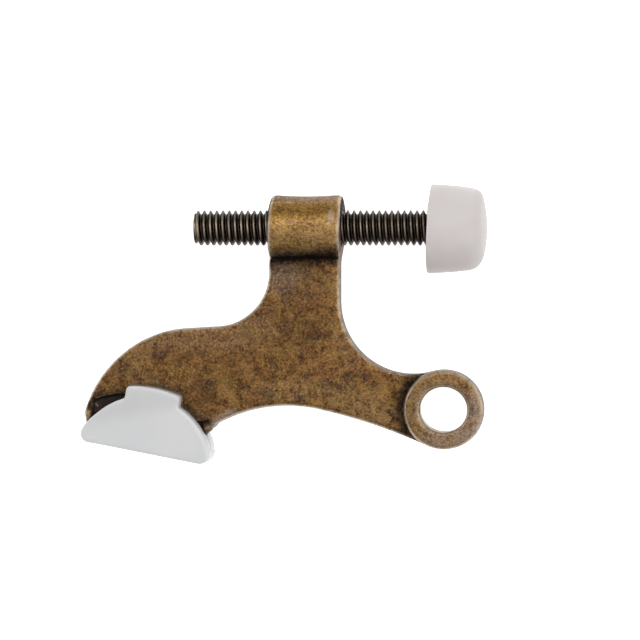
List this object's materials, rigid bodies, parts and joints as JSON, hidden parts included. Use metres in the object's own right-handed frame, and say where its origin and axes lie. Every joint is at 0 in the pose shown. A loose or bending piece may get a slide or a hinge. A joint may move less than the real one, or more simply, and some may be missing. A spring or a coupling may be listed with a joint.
{
  "type": "hinge pin door stop",
  "caption": "Hinge pin door stop: a cast arm with an eye for the hinge pin, a threaded rod with a rubber tip for the door and a fixed pad for the casing.",
  "frame": {"origin": "centre of the eye's bore, midway through its thickness, on the casting's parting plane", "axes": "+Z along the hinge pin, up; +X along the adjusting rod towards the rubber tip; +Y from the eye towards the rod"},
  "size_m": [0.0908, 0.0628, 0.0196],
  "materials": {
    "antique_brass": "mottled antique brass plating with dark patina in the creases",
    "dark_brass": "dark antique plating, rubbed light on the thread crests",
    "tip_rubber": "satin off-white moulded rubber",
    "pad_rubber": "satin cool white moulded rubber"
  },
  "bodies": {
    "stop_body": {"arm_casting": "antique_brass", "bumper_pad": "pad_rubber"},
    "tip_body": {"rubber_tip": "tip_rubber"},
    "rod_body": {"adjusting_rod": "dark_brass"}
  },
  "joints": [
    {"name": "tip_travel", "type": "slide", "parent": "stop_body", "child": "tip_body", "axis": [1, 0, 0], "range_m": [-0.019, 0.0162]},
    {"name": "rod_turn", "type": "hinge", "parent": "tip_body", "child": "rod_body", "pos_m": [0, 0.04057, 0], "axis": [1, 0, 0], "range_deg": [-4824, 4104]}
  ],
  "couplings": [
    {"joint": "tip_travel", "follows": "rod_turn", "m_per_rad": 0.00022459}
  ]
}
